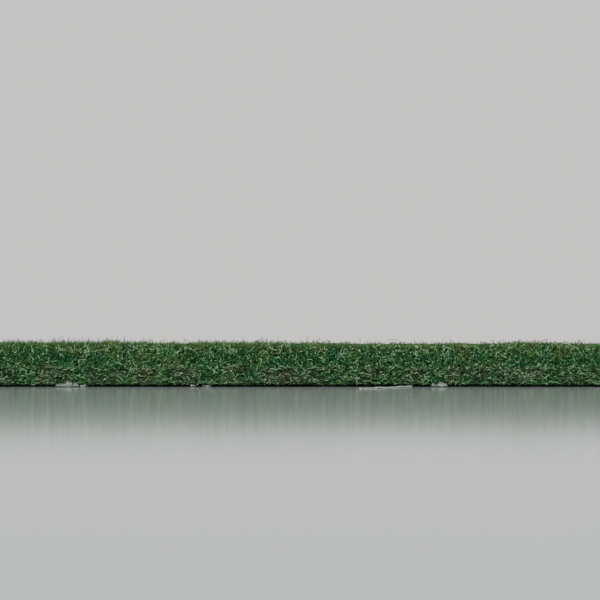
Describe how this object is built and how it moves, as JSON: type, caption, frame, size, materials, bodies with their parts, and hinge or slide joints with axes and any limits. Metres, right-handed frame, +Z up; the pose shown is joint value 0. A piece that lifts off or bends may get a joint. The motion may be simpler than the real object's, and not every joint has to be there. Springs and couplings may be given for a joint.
{
  "type": "practice putting mat",
  "caption": "Roll-out practice putting mat of thick sheared turf with plain cut edges, an open cup at one end, and nearer cups closed by turf plugs that lift out.",
  "frame": {"origin": "middle of the underside, on the surface that the mat lies on", "axes": "+Z up out of the pile, +Y along the mat from the cup end to the player's end, +X across the mat to the right of a viewer at the cup end who looks along +Y"},
  "size_m": [0.5, 2.4, 0.009],
  "materials": {
    "pile": "sheared needle-punched velour turf, matte",
    "felt": "compact needled felt of the same fibre, greyer green",
    "scrim": "woven primary backing, pale green",
    "latex": "milky translucent latex film, satin"
  },
  "bodies": {
    "mat": {"latex_backing": "latex", "felt_base": "felt", "scrim": "scrim", "turf_pile": "pile"},
    "left_plug": {"left_plug_latex": "latex", "left_plug_felt": "felt", "left_plug_scrim": "scrim", "left_plug_pile": "pile"},
    "right_plug": {"right_plug_latex": "latex", "right_plug_felt": "felt", "right_plug_scrim": "scrim", "right_plug_pile": "pile"}
  },
  "joints": [
    {"name": "left_plug_lift", "type": "slide", "parent": "mat", "child": "left_plug", "axis": [0, 0, 1], "range_m": [0, 0.03]},
    {"name": "right_plug_lift", "type": "slide", "parent": "mat", "child": "right_plug", "axis": [0, 0, 1], "range_m": [0, 0.03]}
  ]
}
